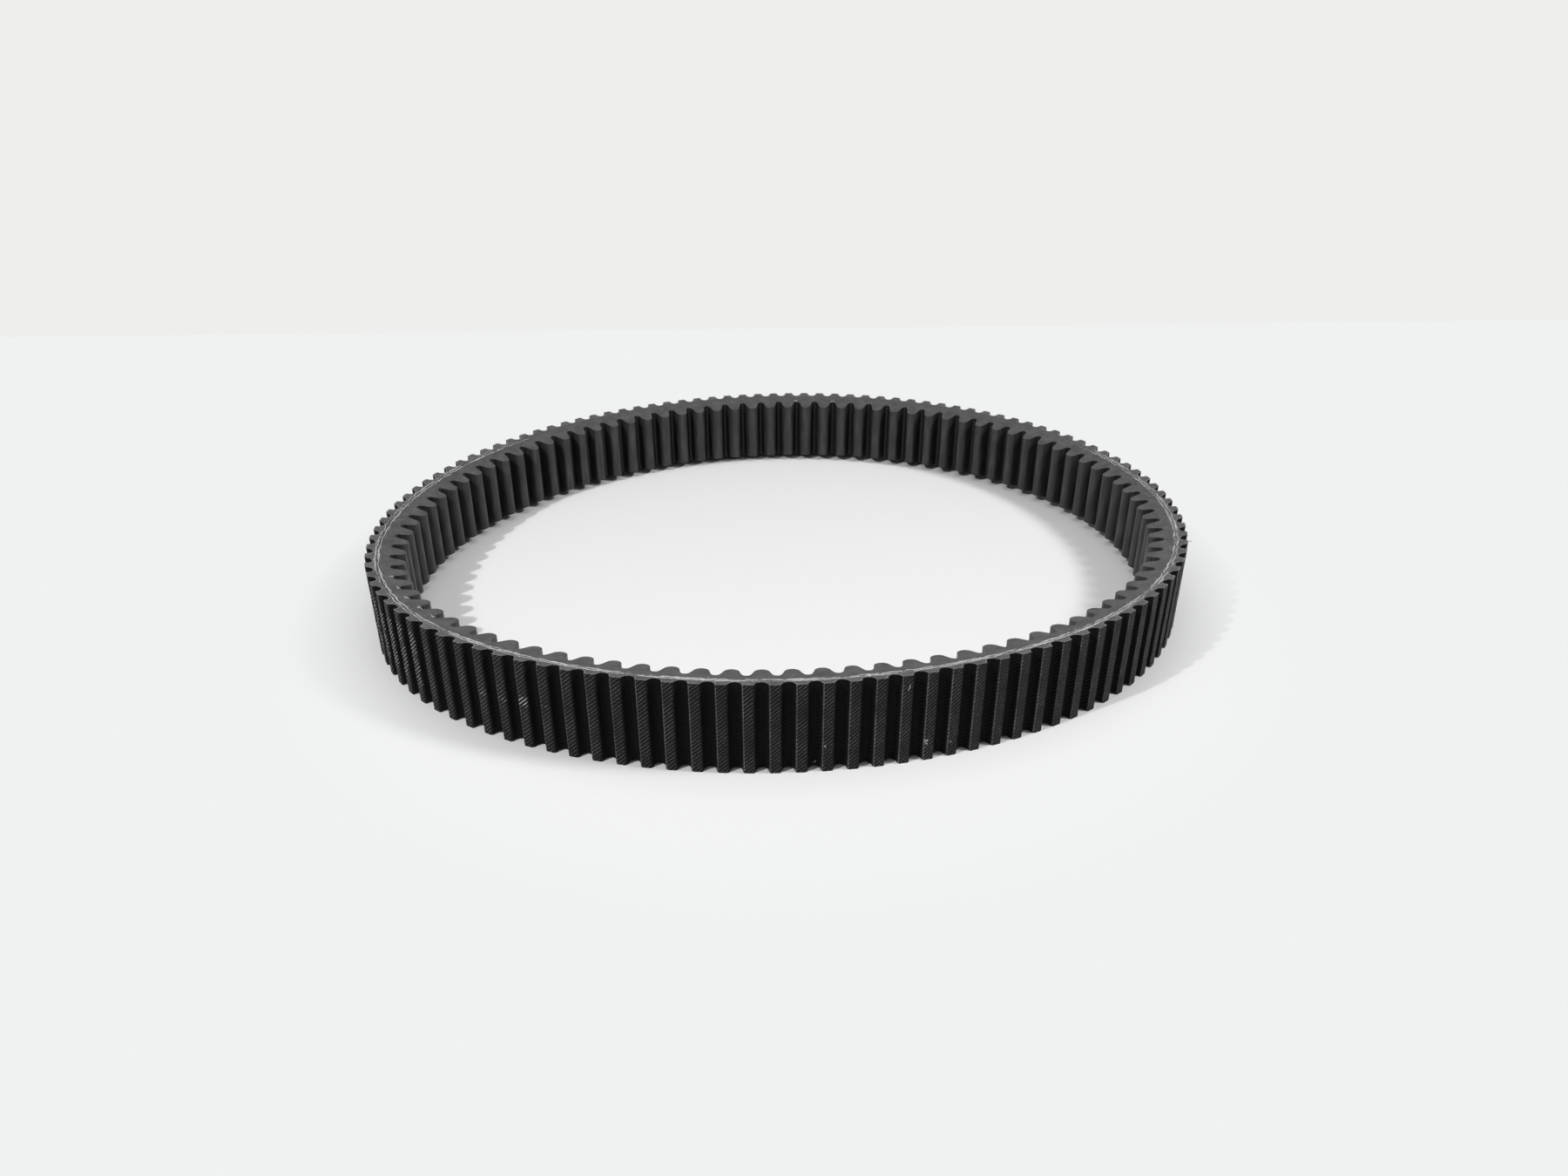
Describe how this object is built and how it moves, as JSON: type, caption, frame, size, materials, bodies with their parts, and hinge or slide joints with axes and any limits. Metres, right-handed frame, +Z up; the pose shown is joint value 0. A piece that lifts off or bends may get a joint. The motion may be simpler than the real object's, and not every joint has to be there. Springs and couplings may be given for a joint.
{
  "type": "variable-speed drive belt",
  "caption": "Endless double-cogged V belt for a variable-speed drive, lying on its side, built as its bonded layers of fabric, rubber, gum and cord.",
  "frame": {"origin": "on the surface that the belt lies on, under the middle of the loop's outline", "axes": "+Z up across the belt's width, +X along the long axis of the loop as it lies"},
  "size_m": [0.366, 0.3206, 0.037],
  "materials": {
    "outer_fabric": "rubber-filled cotton and nylon twill, black, worn pale on the cog edges",
    "outer_rubber": "cut and ground flank, dark grey, matte",
    "cushion_gum": "cut edge, mid grey, matte",
    "cord_s": "treated aramid cord, cut ends pale",
    "cord_z": "treated aramid cord, cut ends pale",
    "inner_rubber": "fibre-loaded rubber, ground flank, dark grey, matte",
    "inner_fabric": "thin rubber-filled fabric, black, matte"
  },
  "bodies": {
    "root": {"outer_facing_fabric": "outer_fabric", "outer_cog_rubber": "outer_rubber", "upper_cushion_gum": "cushion_gum", "tension_cord_s_twist": "cord_s", "tension_cord_z_twist": "cord_z", "lower_cushion_gum": "cushion_gum", "inner_cog_rubber": "inner_rubber", "inner_facing_fabric": "inner_fabric"}
  },
  "joints": []
}
